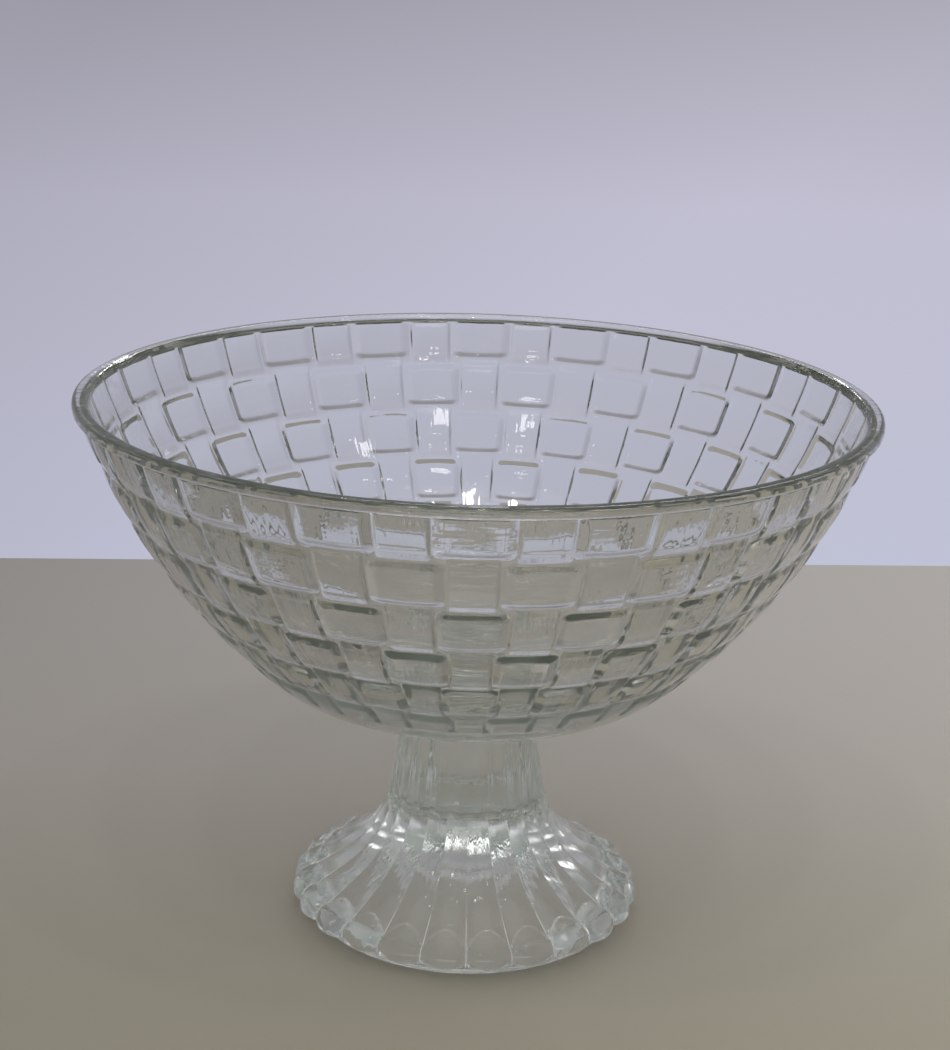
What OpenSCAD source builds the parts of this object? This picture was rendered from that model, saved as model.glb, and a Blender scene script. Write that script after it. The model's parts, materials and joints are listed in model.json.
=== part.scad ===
// Footed trifle bowl in clear pressed glass.
// A wide bowl with a moulded basket weave stands on a hollow flared pedestal with rounded lobes.
// Millimetres, +Z up. The origin is at the middle of the foot, on the table.
// Angles go round from the front, which is -Y, towards +X.

/* [Bowl] */
// Outer diameter of the rim bead
rim_d = 250; // [235:1:265]
// Height of the bowl by itself, from its pad to the top of the rim
bowl_h = 95.5; // [90:0.5:102]
// Width of the rim seen from above, bead included
rim_w = 4.8; // [4:0.1:5.5]
// Height of the rim bead
bead_h = 3; // [2.4:0.1:3.4]
// How far the rim bead stands out from the weave
bead_proud = 0.6; // [0.3:0.1:0.9]
// Rounding of the rim's two top edges
rim_round = 1.5; // [1:0.1:1.8]
// Lean of the side from upright, at the rim
rim_angle = 17; // [15.5:0.5:18.5]
// Radius of the long curve of the side
side_r = 190; // [182:1:200]
// Radius of the turn from the side to the underside
turn_r = 28; // [24:1:32]

/* [Inside of the bowl] */
// Thickness of the bottom over the pad
floor_t = 6; // [5:0.5:8]
// Lean of the inside from upright, at the rim
inside_angle = 18.5; // [17.5:0.5:19.5]
// Radius of the long curve inside
inside_side_r = 182; // [174:1:190]
// Radius of the turn to the flat bottom inside
inside_turn_r = 32; // [28:1:36]

/* [Basket weave] */
// Number of upright stakes round the bowl, which is even
stakes = 40; // [36:2:44]
// Rows of weavers from the rim to the plain ring round the bottom, which cuts the last one in half
weaver_rows = 6; // [4:1:6]
// Distance from one row of weavers to the next, along the wall
row_pitch = 18.3; // [17.5:0.1:19]
// Distance along the wall from the top of the rim to the middle of the first row
first_row = 9.1; // [8.5:0.1:9.6]
// Depth of the weave, from the top of a strip to the ground between the strips
weave_depth = 1.4; // [1:0.1:2]

/* [Pad and bond] */
// Diameter of the flat pad under the bowl
pad_d = 52; // [48:1:60]
// How far the pad stands out from the underside
pad_h = 0.6; // [0.4:0.1:1]
// Thickness of the clear film of adhesive
bond_t = 0.3; // [0.2:0.1:0.5]
// How far the film stays inside the edge of the pedestal's top
bond_inset = 0.5; // [0.3:0.1:1]

/* [Pedestal] */
// Height of the pedestal, from the table to its flat top
pedestal_h = 79.5; // [74:0.5:86]
// Diameter over the lobes of the base
base_d = 115.5; // [113:0.5:120]
// Diameter of the stem at its top
stem_d = 40; // [37:0.5:43]
// Rounding of the stem's top edge
stem_round = 1.2; // [0.8:0.1:1.6]
// Lean of the stem from upright
stem_angle = 8; // [6.5:0.5:9.5]
// Radius of the hollow curve where the stem spreads
flare_r = 36; // [32:1:40]
// Lean of the flare from upright, where it is flattest
flare_angle = 60; // [57:1:63]
// Radius of the rounded edge of the base
toe_r = 6; // [5:0.5:7]
// Number of lobes round the base
lobes = 24; // [20:1:28]
// Depth of the creases between the lobes, at the edge of the base
lobe_depth = 2; // [1.4:0.1:2.4]
// Angle by which the lobes are turned from the front of the weave
lobe_angle = 1.3; // [0:0.1:7.5]

/* [Foot ring and hollow] */
// Outer diameter of the ring that stands on the table
foot_d = 104; // [100:0.5:106]
// Height of that ring
foot_h = 4; // [3:0.1:4.5]
// Width of the flat ring that touches the table
foot_w = 6; // [4:0.5:8]
// Height of the hollow's upright mouth
mouth_h = 7; // [5:0.5:8]
// Height of the hollow under the pedestal
hollow_h = 30; // [26:0.5:34]
// Radius of the rounded top of the hollow
hollow_top_r = 12; // [8:0.5:14]

/* [Hidden] */

glass = [0.80, 0.84, 0.83, 0.45];
film = [0.88, 0.90, 0.89, 0.60];
smooth_fn = 96;
turn_full = 360;
turn_half = 180;
turn_quarter = 90;
turn_rows = 3;

// A ring of the bowl has four columns to each stake, or two where the wall is plain
weave_columns = 4 * stakes;
plain_columns = 2 * stakes;
step_deg = turn_full / stakes;

// Shares of the distance between two stakes: half of a stake's flat top, and of its foot
stake_top_share = 0.345;
stake_foot_share = 0.415;
// Shares of the distance between two rows: half of a weaver's flat top, and of its foot
weaver_top_share = 0.29;
weaver_foot_share = 0.415;
// Shares of the way to the next crossing at which a strip starts and ends its dive
stake_dive_shares = [0.34, 0.61];
weaver_dive_shares = [0.4, 0.64];

// Columns of one stake as [share of the step, whether the stake is there]
stake_edge_shares = [
    [-stake_foot_share, false],
    [-stake_top_share, true],
    [stake_top_share, true],
    [stake_foot_share, false]
];
// Rings of one row as [share of the pitch, whether the weaver is there]
weaver_edge_shares = [
    [-weaver_foot_share, false],
    [-weaver_top_share, true],
    [0, true],
    [weaver_top_share, true],
    [weaver_foot_share, false]
];

rim_r = rim_d / 2;
bowl_z = pedestal_h + bond_t;
groove_at = bead_h + bead_proud;
weave_end = first_row + (weaver_rows - 1) * row_pitch;

// A bowl curve is [radius at the top, height, lean at the top, side radius, turn radius]
outer_curve = [rim_r - bead_proud, bowl_h - pad_h, rim_angle, side_r, turn_r];
inner_curve = [rim_r - rim_w, bowl_h - floor_t, inside_angle, inside_side_r, inside_turn_r];

function radians(deg) = deg * PI / turn_half;
function degrees(rad) = rad * turn_half / PI;
function at(angle, p) = [p[0] * sin(angle), -p[0] * cos(angle), p[1]];

// Lean where the long side curve hands over to the turn, so that the curve ends flat
function turn_lean(c) = asin((c[1] + c[3] * sin(c[2]) - c[4]) / (c[3] - c[4]));
function side_length(c) = c[3] * radians(turn_lean(c) - c[2]);
function turn_length(c) = c[4] * radians(turn_quarter - turn_lean(c));
function curve_length(c) = side_length(c) + turn_length(c);

// Lean of the wall at a distance along it from the top
function lean_at(c, s) =
    s < side_length(c) ? c[2] + degrees(s / c[3])
    : min(turn_quarter, turn_lean(c) + degrees((s - side_length(c)) / c[4]));

// Point [radius, height] at a distance along the wall
function side_point(c, lean) = [
    c[0] - c[3] * (cos(c[2]) - cos(lean)),
    c[1] - c[3] * (sin(lean) - sin(c[2]))
];
function turn_point(c, lean) = side_point(c, turn_lean(c)) - [
    c[4] * (cos(turn_lean(c)) - cos(lean)),
    c[4] * (sin(lean) - sin(turn_lean(c)))
];
function wall_point(c, s) =
    s < side_length(c) ? side_point(c, lean_at(c, s))
    : turn_point(c, lean_at(c, s)) - [max(0, s - curve_length(c)), 0];

// The same point moved into the glass, square to the wall
function sunk_point(c, s, depth) =
    wall_point(c, s) - depth * [cos(lean_at(c, s)), -sin(lean_at(c, s))];

// How high a strip stands, from 1 over a crossing to 0 under the next one
function near_even(v) = abs(v - 2 * round(v / 2));
function rise(x, dive) =
    x <= dive[0] ? 1
    : x >= dive[1] ? 0
    : (1 + cos(turn_half * (x - dive[0]) / (dive[1] - dive[0]))) / 2;

// Height of the weave at a place counted in stakes round the bowl and in rows down the wall.
// A stake passes over a row when their numbers add up to an even one.
function weave(x, y, on_stake, on_weaver) = max(
    on_stake ? rise(near_even(y + round(x)), stake_dive_shares) : 0,
    on_weaver ? rise(near_even(x + round(y) + 1), weaver_dive_shares) : 0
);

// One ring of the outside, at a row place y, with its points on the weave
function weave_ring(y, on_weaver) =
    let (s = first_row + (y - 1) * row_pitch)
    [
        for (k = [0 : stakes - 1], edge = stake_edge_shares)
            let (up = weave(k + edge[0], y, edge[1], on_weaver))
            at((k + edge[0]) * step_deg, sunk_point(outer_curve, s, weave_depth * (1 - up)) + [0, pad_h])
    ];

// A plain ring through one point [radius, height]
function plain_ring(p, n) = [for (i = [0 : n - 1]) at(turn_full * (i - 1.5 * n / weave_columns) / n, p)];

// Distance along the wall, counted in rows
function row_of(s) = 1 + (s - first_row) / row_pitch;

// The rings of the weave from the middle of the last row up to the groove below the bead.
// Only the lowest rows, where the wall is most curved, need a ring along the middle of their weavers.
function woven_rings() = [
    for (i = [weaver_rows : -1 : 1], j = [len(weaver_edge_shares) - 1 : -1 : 0])
        let (edge = weaver_edge_shares[j])
        if ((i > 1 || edge[0] > 0)
            && (i < weaver_rows || edge[0] <= 0)
            && (edge[0] != 0 || i > weaver_rows - turn_rows))
            weave_ring(i + edge[0], edge[1])
];

module bowl() {
    flat_at = curve_length(outer_curve);
    plain_from = weave_end + weave_depth / 2;
    pad_r = pad_d / 2;
    in_length = curve_length(inner_curve);
    in_side = side_length(inner_curve);
    in_rings = 4;
    under_rings = 5;
    under = concat(
        [
            plain_ring([pad_r, 0], plain_columns),
            plain_ring([pad_r + pad_h, pad_h], plain_columns)
        ],
        [
            for (i = [0 : under_rings - 1])
                let (s = flat_at + (plain_from - flat_at) * i / under_rings)
                plain_ring(wall_point(outer_curve, s) + [0, pad_h], plain_columns)
        ]
    );
    outside = concat(
        [plain_ring(wall_point(outer_curve, plain_from) + [0, pad_h], weave_columns)],
        woven_rings(),
        [
            weave_ring(row_of(groove_at + bead_proud), true),
            plain_ring(sunk_point(outer_curve, groove_at, weave_depth) + [0, pad_h], weave_columns)
        ]
    );
    rim = [
        plain_ring([rim_r - bead_proud, bowl_h - bead_h], weave_columns),
        plain_ring([rim_r, bowl_h - bead_h + bead_proud], weave_columns),
        plain_ring([rim_r, bowl_h - rim_round], weave_columns),
        plain_ring([rim_r - rim_round, bowl_h], weave_columns)
    ];
    inside = concat(
        [plain_ring([rim_r - rim_w + rim_round, bowl_h], plain_columns)],
        [
            for (i = [0 : in_rings])
                let (s = rim_round + (in_side - rim_round) * i / in_rings)
                plain_ring(wall_point(inner_curve, s) + [0, floor_t], plain_columns)
        ],
        [
            for (i = [1 : in_rings])
                let (s = in_side + (in_length - in_side) * i / in_rings)
                plain_ring(wall_point(inner_curve, s) + [0, floor_t], plain_columns)
        ]
    );
    color(glass)
        translate([0, 0, bowl_z])
            ring_loft(concat(under, outside, rim, inside), [0, 0, 0], [0, 0, floor_t]);
}

// Outline of the pedestal at the crown of a lobe, as [radius, height, lean], from the table up
toe_z = foot_h + toe_r / 8;
base_r = base_d / 2;
stem_r = stem_d / 2;
arc_steps = 4;

function toe_point(lean) = [
    base_r - toe_r * (1 - cos(lean)),
    toe_z + toe_r * sin(lean),
    lean
];
toe_end = toe_point(flare_angle);
// The straight stretch is as long as it must be for the stem to reach its top diameter
function flare_drop(from, to) = flare_r * [cos(to) - cos(from), sin(from) - sin(to)];
arc_size = flare_drop(flare_angle, stem_angle);
stem_slope = tan(stem_angle);
stretch_slope = 1 / tan(flare_angle);
stem_base_z = toe_end[1] + arc_size[1];
// Radius lost in the stretch and height gained, with the stem's own taper taken into account
to_go = toe_end[0] - arc_size[0] - stem_r - (pedestal_h - stem_base_z) * stem_slope;
stretch_w = to_go / (1 - stretch_slope * stem_slope);
stretch_end = [toe_end[0] - stretch_w, toe_end[1] + stretch_w * stretch_slope];

function flare_point(lean) = [
    stretch_end[0] - flare_drop(flare_angle, lean)[0],
    stretch_end[1] + flare_drop(flare_angle, lean)[1],
    lean
];
pedestal_outline = concat(
    [[base_r - toe_r / 8, foot_h, 0]],
    [for (i = [0 : arc_steps]) toe_point(flare_angle * i / arc_steps)],
    [for (i = [0 : arc_steps]) flare_point(flare_angle + (stem_angle - flare_angle) * i / arc_steps)],
    [
        [stem_r + stem_round * stem_slope, pedestal_h - stem_round, stem_angle],
        [stem_r - stem_round, pedestal_h, stem_angle]
    ]
);

// The creases are deepest at the edge of the base and fade out up the stem
function crease_depth(r) = lobe_depth * pow(r / base_r, 2);

// A ring of lobes: across a lobe the share is 0 in the crease and one half on the crown
lobe_shares = [0, 0.25, 0.5, 0.75];
function lobe_ring(p) = [
    for (k = [0 : lobes - 1], v = lobe_shares)
        let (depth = crease_depth(p[0]) * pow(2 * v - 1, 2))
        at(turn_full * (k + v) / lobes + lobe_angle, [p[0], p[1]] - depth * [cos(p[2]), sin(p[2])])
];

// Outline of the hollow: straight up from its mouth, a cone, then a rounded top that the cone touches
hollow_r = foot_d / 2 - foot_w;
hollow_mid_z = hollow_h - hollow_top_r;
hollow_rise = hollow_mid_z - mouth_h;
hollow_slope = atan2(hollow_rise, hollow_r) + asin(hollow_top_r / norm([hollow_r, hollow_rise]));
hollow_outline = concat(
    [[0, -foot_h], [hollow_r, -foot_h], [hollow_r, mouth_h]],
    [
        for (i = [arc_steps : -1 : 0])
            let (a = hollow_slope * i / arc_steps)
            [hollow_top_r * sin(a), hollow_mid_z + hollow_top_r * cos(a)]
    ]
);

module pedestal() {
    color(glass)
        difference() {
            union() {
                ring_loft(
                    [for (p = pedestal_outline) lobe_ring(p)],
                    [0, 0, foot_h],
                    [0, 0, pedestal_h]
                );
                cylinder(d = foot_d, h = foot_h + toe_r / 8, $fn = smooth_fn);
            }
            rotate_extrude($fn = smooth_fn) polygon(hollow_outline);
        }
}

// The film of adhesive lies between the pedestal's flat top and the bowl's pad
module bond_disc() {
    color(film)
        translate([0, 0, pedestal_h])
            cylinder(
                r = stem_r - crease_depth(stem_r) - stem_round - bond_inset,
                h = bond_t,
                $fn = smooth_fn
            );
}

// A closed skin through rings that follow each other from the bottom over the outside to the top
function start_of(rings, i) = i == 0 ? 0 : start_of(rings, i - 1) + len(rings[i - 1]);

function equal_faces(a, b, n) = [
    for (i = [0 : n - 1])
        let (j = (i + 1) % n)
        each [[a + i, b + i, b + j], [a + i, b + j, a + j]]
];
// The upper ring has half as many points
function halving_faces(a, b, n) = [
    for (i = [0 : n - 1])
        let (j = (i + 1) % n, m = 2 * n)
        each [
            [a + 2 * i, b + i, a + 2 * i + 1],
            [a + 2 * i + 1, b + i, b + j],
            [a + 2 * i + 1, b + j, a + (2 * i + 2) % m]
        ]
];
// The upper ring has twice as many points
function doubling_faces(a, b, n) = [
    for (i = [0 : n - 1])
        let (j = (i + 1) % n, m = 2 * n)
        each [
            [a + i, b + 2 * i, b + 2 * i + 1],
            [a + i, b + 2 * i + 1, a + j],
            [a + j, b + 2 * i + 1, b + (2 * i + 2) % m]
        ]
];
function band_faces(a, b, na, nb) =
    na == nb ? equal_faces(a, b, na)
    : na > nb ? halving_faces(a, b, nb)
    : doubling_faces(a, b, na);

module ring_loft(rings, bottom, top) {
    count = len(rings);
    starts = [for (i = [0 : count]) start_of(rings, i)];
    last = len(rings[count - 1]);
    first = len(rings[0]);
    low = starts[count];
    high = low + 1;
    polyhedron(
        points = concat([for (ring = rings) each ring], [bottom, top]),
        faces = concat(
            [for (i = [0 : first - 1]) [low, i, (i + 1) % first]],
            [
                for (i = [0 : count - 2])
                    each band_faces(starts[i], starts[i + 1], len(rings[i]), len(rings[i + 1]))
            ],
            [
                for (i = [0 : last - 1])
                    [starts[count - 1] + i, high, starts[count - 1] + (i + 1) % last]
            ]
        )
    );
}

bowl();
pedestal();
bond_disc();
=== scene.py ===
"""Looks for a footed trifle bowl in clear pressed glass.

The bowl has a moulded basket weave outside, the hollow pedestal has rounded lobes, and a clear film
of adhesive joins them. Lengths are in millimetres inside the classes and in metres in Blender.
Angles go round from the front, which is -Y, towards +X.
"""

import json
import logging
import math
from collections.abc import Sequence
from dataclasses import dataclass, field
from enum import Enum

import bpy
import numpy as np
from mathutils import Matrix, Vector

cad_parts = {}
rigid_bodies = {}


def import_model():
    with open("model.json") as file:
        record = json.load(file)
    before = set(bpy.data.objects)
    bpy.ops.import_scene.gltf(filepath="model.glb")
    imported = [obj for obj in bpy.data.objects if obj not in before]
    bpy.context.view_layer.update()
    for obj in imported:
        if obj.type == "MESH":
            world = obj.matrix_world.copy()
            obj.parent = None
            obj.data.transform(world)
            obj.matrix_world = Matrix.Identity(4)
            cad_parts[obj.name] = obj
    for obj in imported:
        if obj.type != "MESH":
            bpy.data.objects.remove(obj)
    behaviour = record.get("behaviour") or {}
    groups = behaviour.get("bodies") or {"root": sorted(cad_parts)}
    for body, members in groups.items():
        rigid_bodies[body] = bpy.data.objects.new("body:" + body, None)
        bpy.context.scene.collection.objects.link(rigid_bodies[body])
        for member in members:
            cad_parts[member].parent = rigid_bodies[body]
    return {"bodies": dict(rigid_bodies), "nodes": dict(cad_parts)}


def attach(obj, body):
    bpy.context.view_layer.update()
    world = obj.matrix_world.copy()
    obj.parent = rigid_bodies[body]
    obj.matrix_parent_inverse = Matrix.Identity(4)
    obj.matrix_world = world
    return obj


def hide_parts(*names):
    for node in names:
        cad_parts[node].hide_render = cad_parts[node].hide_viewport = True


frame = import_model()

MM = 0.001
FULL_TURN = 2 * math.pi
log = logging.getLogger("trifle_bowl")

Point = tuple[float, float]
Span = tuple[float, float]
Place = tuple[float, float, float]
Colour = tuple[float, float, float]
Socket = bpy.types.NodeSocket
Term = Socket | float


class Body(Enum):
    """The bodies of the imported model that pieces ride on."""

    ROOT = "root"


class Slot(Enum):
    """The record's material slots."""

    BOWL_GLASS = "clear_glass"
    PEDESTAL_GLASS = "pedestal_glass"
    BOND = "clear_bond"


class Node(Enum):
    """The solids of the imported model."""

    BOWL = "bowl"
    PEDESTAL = "pedestal"
    BOND = "bond_disc"


def smooth_step(t: np.ndarray) -> np.ndarray:
    """Eases from 0 to 1 with a level start and end, and is held past them."""
    t = np.clip(t, 0.0, 1.0)
    return t * t * (3.0 - 2.0 * t)


def eased_ramp(t: np.ndarray, ease: float = 0.3) -> np.ndarray:
    """Climbs evenly from 0 to 1, with short rounded ends.

    Args:
        t: Places along the ramp, from 0 to 1. Others are held at its ends.
        ease: Share of the ramp that each rounded end takes.

    Returns:
        The heights.
    """
    t = np.clip(t, 0.0, 1.0)
    slope = 1.0 / (1.0 - ease)
    low = slope * t * t / (2 * ease)
    high = 1.0 - slope * (1.0 - t) ** 2 / (2 * ease)
    middle = slope * (t - ease / 2)
    return np.where(t < ease, low, np.where(t > 1.0 - ease, high, middle))


def rounded(start: Point, corner: Point, end: Point, steps: int) -> list[Point]:
    """Rounds a corner of an outline.

    Args:
        start: Where the rounding begins.
        corner: The sharp corner that it replaces.
        end: Where the rounding ends.
        steps: How many straight stretches the curve has.

    Returns:
        The points of the curve, both ends included.
    """
    made = []
    for i in range(steps + 1):
        t = i / steps
        a, b, c = (1 - t) ** 2, 2 * t * (1 - t), t * t
        made.append((
            a * start[0] + b * corner[0] + c * end[0],
            a * start[1] + b * corner[1] + c * end[1],
        ))
    return made


def straight(start: Point, end: Point, steps: int) -> list[Point]:
    """Divides a straight stretch of an outline into steps, and leaves out both of its ends."""
    shares = [i / steps for i in range(1, steps)]
    return [(start[0] + (end[0] - start[0]) * t, start[1] + (end[1] - start[1]) * t) for t in shares]


def ring_at(angles: np.ndarray, radius: np.ndarray | float, height: np.ndarray | float) -> np.ndarray:
    """Places the points of one ring.

    Args:
        angles: The angle of each point from the front, in radians.
        radius: One radius, or the radius of each point.
        height: One height, or the height of each point.

    Returns:
        The points, one row each.
    """
    radius = np.broadcast_to(radius, angles.shape)
    height = np.broadcast_to(height, angles.shape)
    return np.stack([radius * np.sin(angles), -radius * np.cos(angles), height], axis=1)


def skin(
    name: str, rings: list[np.ndarray], start_z: float, end_z: float, fold_deg: float
) -> bpy.types.Object:
    """Joins rings into one closed mesh with smooth shading.

    Args:
        name: The name of the new piece.
        rings: Rings of equally many points, in order along the outline.
        start_z: Height of the point on the axis that closes the first ring.
        end_z: Height of the point on the axis that closes the last ring.
        fold_deg: Edges that fold by more than this stay sharp.

    Returns:
        The new mesh object.
    """
    count, n = len(rings), len(rings[0])
    points = np.concatenate([*rings, [[0, 0, start_z], [0, 0, end_z]]]) * MM
    here = np.arange(n)
    after = (here + 1) % n
    faces = []
    for k in range(count - 1):
        a, b = k * n, (k + 1) * n
        faces += np.stack([a + here, a + after, b + after, b + here], axis=1).tolist()
    low, last = count * n, (count - 1) * n
    faces += [[low, int(j), int(i)] for i, j in zip(here, after)]
    faces += [[last + int(i), last + int(j), low + 1] for i, j in zip(here, after)]
    mesh = bpy.data.meshes.new(name)
    mesh.from_pydata(points.tolist(), [], faces)
    mesh.polygons.foreach_set("use_smooth", [True] * len(mesh.polygons))
    mesh.set_sharp_from_angle(angle=math.radians(fold_deg))
    mesh.update()
    piece = bpy.data.objects.new(name, mesh)
    bpy.context.scene.collection.objects.link(piece)
    return piece


@dataclass(frozen=True)
class NodeBench:
    """Adds shader nodes to one material or world and joins their sockets."""

    tree: bpy.types.NodeTree

    def add(self, kind: str, **settings: object) -> bpy.types.Node:
        """Adds a node.

        Args:
            kind: Blender's name of the node type.
            settings: Properties of the node, or what goes into its inputs, by socket name.

        Returns:
            The new node.
        """
        node = self.tree.nodes.new(kind)
        for key, value in settings.items():
            if hasattr(node, key):
                setattr(node, key, value)
            else:
                self.feed(node.inputs[key.replace("_", " ")], value)
        return node

    def feed(self, target: Socket, term: Term | Sequence[float]) -> None:
        """Links a socket to an input, or sets the input to a constant.

        Args:
            target: The input.
            term: The socket or the constant.
        """
        if isinstance(term, Socket):
            self.tree.links.new(term, target)
        else:
            target.default_value = term

    def work_out(self, operation: str, *terms: Term) -> Socket:
        """Adds a calculation.

        Args:
            operation: Blender's name of the operation.
            terms: What goes in, in order, as sockets or constants.

        Returns:
            The result.
        """
        node = self.add("ShaderNodeMath", operation=operation)
        for target, term in zip(node.inputs, terms):
            self.feed(target, term)
        return node.outputs["Value"]

    def mapped(self, value: Socket, came: Span = (0, 1), goes: tuple[Term, Term] = (0, 1)) -> Socket:
        """Maps a value from one range to another and holds it at the ends.

        Args:
            value: The value.
            came: The range that it comes from.
            goes: What the two ends of that range become.

        Returns:
            The mapped value.
        """
        node = self.add(
            "ShaderNodeMapRange", Value=value,
            From_Min=came[0], From_Max=came[1], To_Min=goes[0], To_Max=goes[1],
        )
        return node.outputs["Result"]

    def noise(self, place: Socket, scale: float, detail: float, rough: float = 0.5) -> Socket:
        """Adds soft noise.

        Args:
            place: Where the noise is read.
            scale: How fine it is.
            detail: Finer noise within it.
            rough: Share of the finer noise.

        Returns:
            The noise, from 0 to 1.
        """
        node = self.add("ShaderNodeTexNoise", Vector=place, Scale=scale, Detail=detail, Roughness=rough)
        return node.outputs["Fac"]

    def ramp(self, value: Socket, stops: list[tuple[float, Colour]]) -> Socket:
        """Turns a value into a colour.

        Args:
            value: The value, from 0 to 1.
            stops: Values and their colours, from the lowest up.

        Returns:
            The colour.
        """
        node = self.add("ShaderNodeValToRGB", Fac=value)
        elements = node.color_ramp.elements
        while len(elements) < len(stops):
            elements.new(0.5)
        for element, (place, colour) in zip(elements, stops):
            element.position = place
            element.color = (*colour, 1.0)
        return node.outputs["Color"]


@dataclass(frozen=True)
class PressedGlass:
    """Clear pressed glass: fire-polished, a little wavy, and faintly green where it is thick.

    Scales are to the metre and depths in metres. The peel is the fine unevenness of the polish. The
    mesh may carry two values: weaver_over, which tells where lines run round the piece and not up it,
    and unpolished, which brings in the haze and the frost.

    Attributes:
        tint: Colour that the glass takes on in its thickness.
        density: How fast it takes that on.
        roughness: Roughness at both ends of the waves.
        stake_lines: Mould lines up the piece: how many in a radian, and breaks to the metre of height.
        weaver_lines: Mould lines round the piece, as breaks in a radian and lines to the metre of height.
        haze: Roughness that the unpolished places gain.
        clarity: Share of the light that may pass through the surface.
        frost: How much of that share the unpolished places lose.
        film: Colour that each surface gives to the light that passes.
    """

    name: str
    tint: Colour = (0.78, 0.88, 0.84)
    density: float = 8.0
    ior: float = 1.52
    roughness: Span = (0.01, 0.06)
    wave_scale: float = 70.0
    wave_depth: float = 0.00022
    wave_detail: float = 1.5
    wave_roughness: float = 0.4
    peel_scale: float = 240.0
    peel_depth: float = 0.00001
    peel_detail: float = 2.0
    stake_lines: Span = (45.0, 70.0)
    weaver_lines: Span = (10.0, 420.0)
    lines_detail: float = 1.0
    lines_roughness: float = 0.6
    lines_depth: float = 0.00006
    haze: float = 0.0
    clarity: float = 1.0
    frost: float = 0.0
    film: Colour = (1.0, 1.0, 1.0)

    def material(self) -> bpy.types.Material:
        """Builds the material.

        Returns:
            A glass material with soft waves, a fine polish texture and a tint in its thickness.
        """
        made = bpy.data.materials.new(self.name)
        made.use_nodes = True
        made.node_tree.nodes.clear()
        bench = NodeBench(made.node_tree)
        place = bench.add("ShaderNodeTexCoord").outputs["Object"]
        waves = bench.noise(place, self.wave_scale, self.wave_detail, self.wave_roughness)
        peel = bench.noise(place, self.peel_scale, self.peel_detail)
        unpolished = bench.add("ShaderNodeAttribute", attribute_name="unpolished").outputs["Fac"]
        polish = bench.mapped(waves, goes=self.roughness)
        clear = self.clarity
        if self.frost:
            clear = bench.work_out("MULTIPLY_ADD", unpolished, -self.frost, self.clarity)
        shader = bench.add(
            "ShaderNodeBsdfPrincipled", IOR=self.ior, Base_Color=(*self.film, 1.0), Transmission_Weight=clear,
            Roughness=bench.work_out("MULTIPLY_ADD", unpolished, self.haze, polish),
        )
        normal = None
        for height, depth in (
            (waves, self.wave_depth), (peel, self.peel_depth), (self._lines(bench, place), self.lines_depth),
        ):
            bump = bench.add("ShaderNodeBump", Distance=depth, Strength=1.0, Height=height)
            if normal is not None:
                bench.feed(bump.inputs["Normal"], normal)
            normal = bump.outputs["Normal"]
        bench.feed(shader.inputs["Normal"], normal)
        inside = bench.add("ShaderNodeVolumeAbsorption", Color=(*self.tint, 1.0), Density=self.density)
        bench.add("ShaderNodeOutputMaterial", Surface=shader.outputs["BSDF"], Volume=inside.outputs["Volume"])
        return made

    def _lines(self, bench: NodeBench, place: Socket) -> Socket:
        """Adds the fine lines that the mould draws, down the stakes and along the weavers.

        Args:
            bench: The material's nodes.
            place: The place on the piece.

        Returns:
            The height of the lines.
        """
        split = bench.add("ShaderNodeSeparateXYZ", Vector=place).outputs
        angle = bench.work_out("ARCTAN2", split["X"], split["Y"])
        over = bench.add("ShaderNodeAttribute", attribute_name="weaver_over").outputs["Fac"]
        mix = bench.add("ShaderNodeMix", data_type="FLOAT", Factor=over)
        for (round_it, up_it), target in ((self.stake_lines, "A"), (self.weaver_lines, "B")):
            x, y = bench.work_out("MULTIPLY", angle, round_it), bench.work_out("MULTIPLY", split["Z"], up_it)
            spot = bench.add("ShaderNodeCombineXYZ", X=x, Y=y).outputs["Vector"]
            heights = bench.noise(spot, 1.0, self.lines_detail, self.lines_roughness)
            bench.feed(mix.inputs[target], heights)
        return mix.outputs["Result"]


@dataclass(frozen=True)
class WallCurve:
    """A bowl's wall in section: a long side curve, a tighter turn, then flat."""

    top_radius: float
    drop: float
    base_z: float
    top_lean_deg: float
    side_radius: float
    turn_radius: float

    @property
    def top_lean(self) -> float:
        """Lean from upright at the top, in radians."""
        return math.radians(self.top_lean_deg)

    @property
    def turn_lean(self) -> float:
        """Lean where the side curve hands over to the turn."""
        rise = self.drop + self.side_radius * math.sin(self.top_lean) - self.turn_radius
        return math.asin(rise / (self.side_radius - self.turn_radius))

    @property
    def side_length(self) -> float:
        """Length of the side curve."""
        return self.side_radius * (self.turn_lean - self.top_lean)

    @property
    def length(self) -> float:
        """Length of both curves."""
        return self.side_length + self.turn_radius * (math.pi / 2 - self.turn_lean)

    def lean_at(self, s: float) -> float:
        """Finds how far the wall leans.

        Args:
            s: Distance along the wall from its top.

        Returns:
            The lean from upright, in radians.
        """
        if s < self.side_length:
            return self.top_lean + s / self.side_radius
        return min(math.pi / 2, self.turn_lean + (s - self.side_length) / self.turn_radius)

    def point_at(self, s: float) -> Point:
        """Finds a point of the wall.

        Args:
            s: Distance along the wall from its top.

        Returns:
            The radius and the height.
        """
        lean = self.lean_at(s)
        side, turn = min(lean, self.turn_lean), max(lean, self.turn_lean)
        radius = self.top_radius - self.side_radius * (math.cos(self.top_lean) - math.cos(side))
        height = self.drop - self.side_radius * (math.sin(side) - math.sin(self.top_lean))
        radius -= self.turn_radius * (math.cos(self.turn_lean) - math.cos(turn))
        height -= self.turn_radius * (math.sin(turn) - math.sin(self.turn_lean))
        return radius - max(0.0, s - self.length), self.base_z + height


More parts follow.
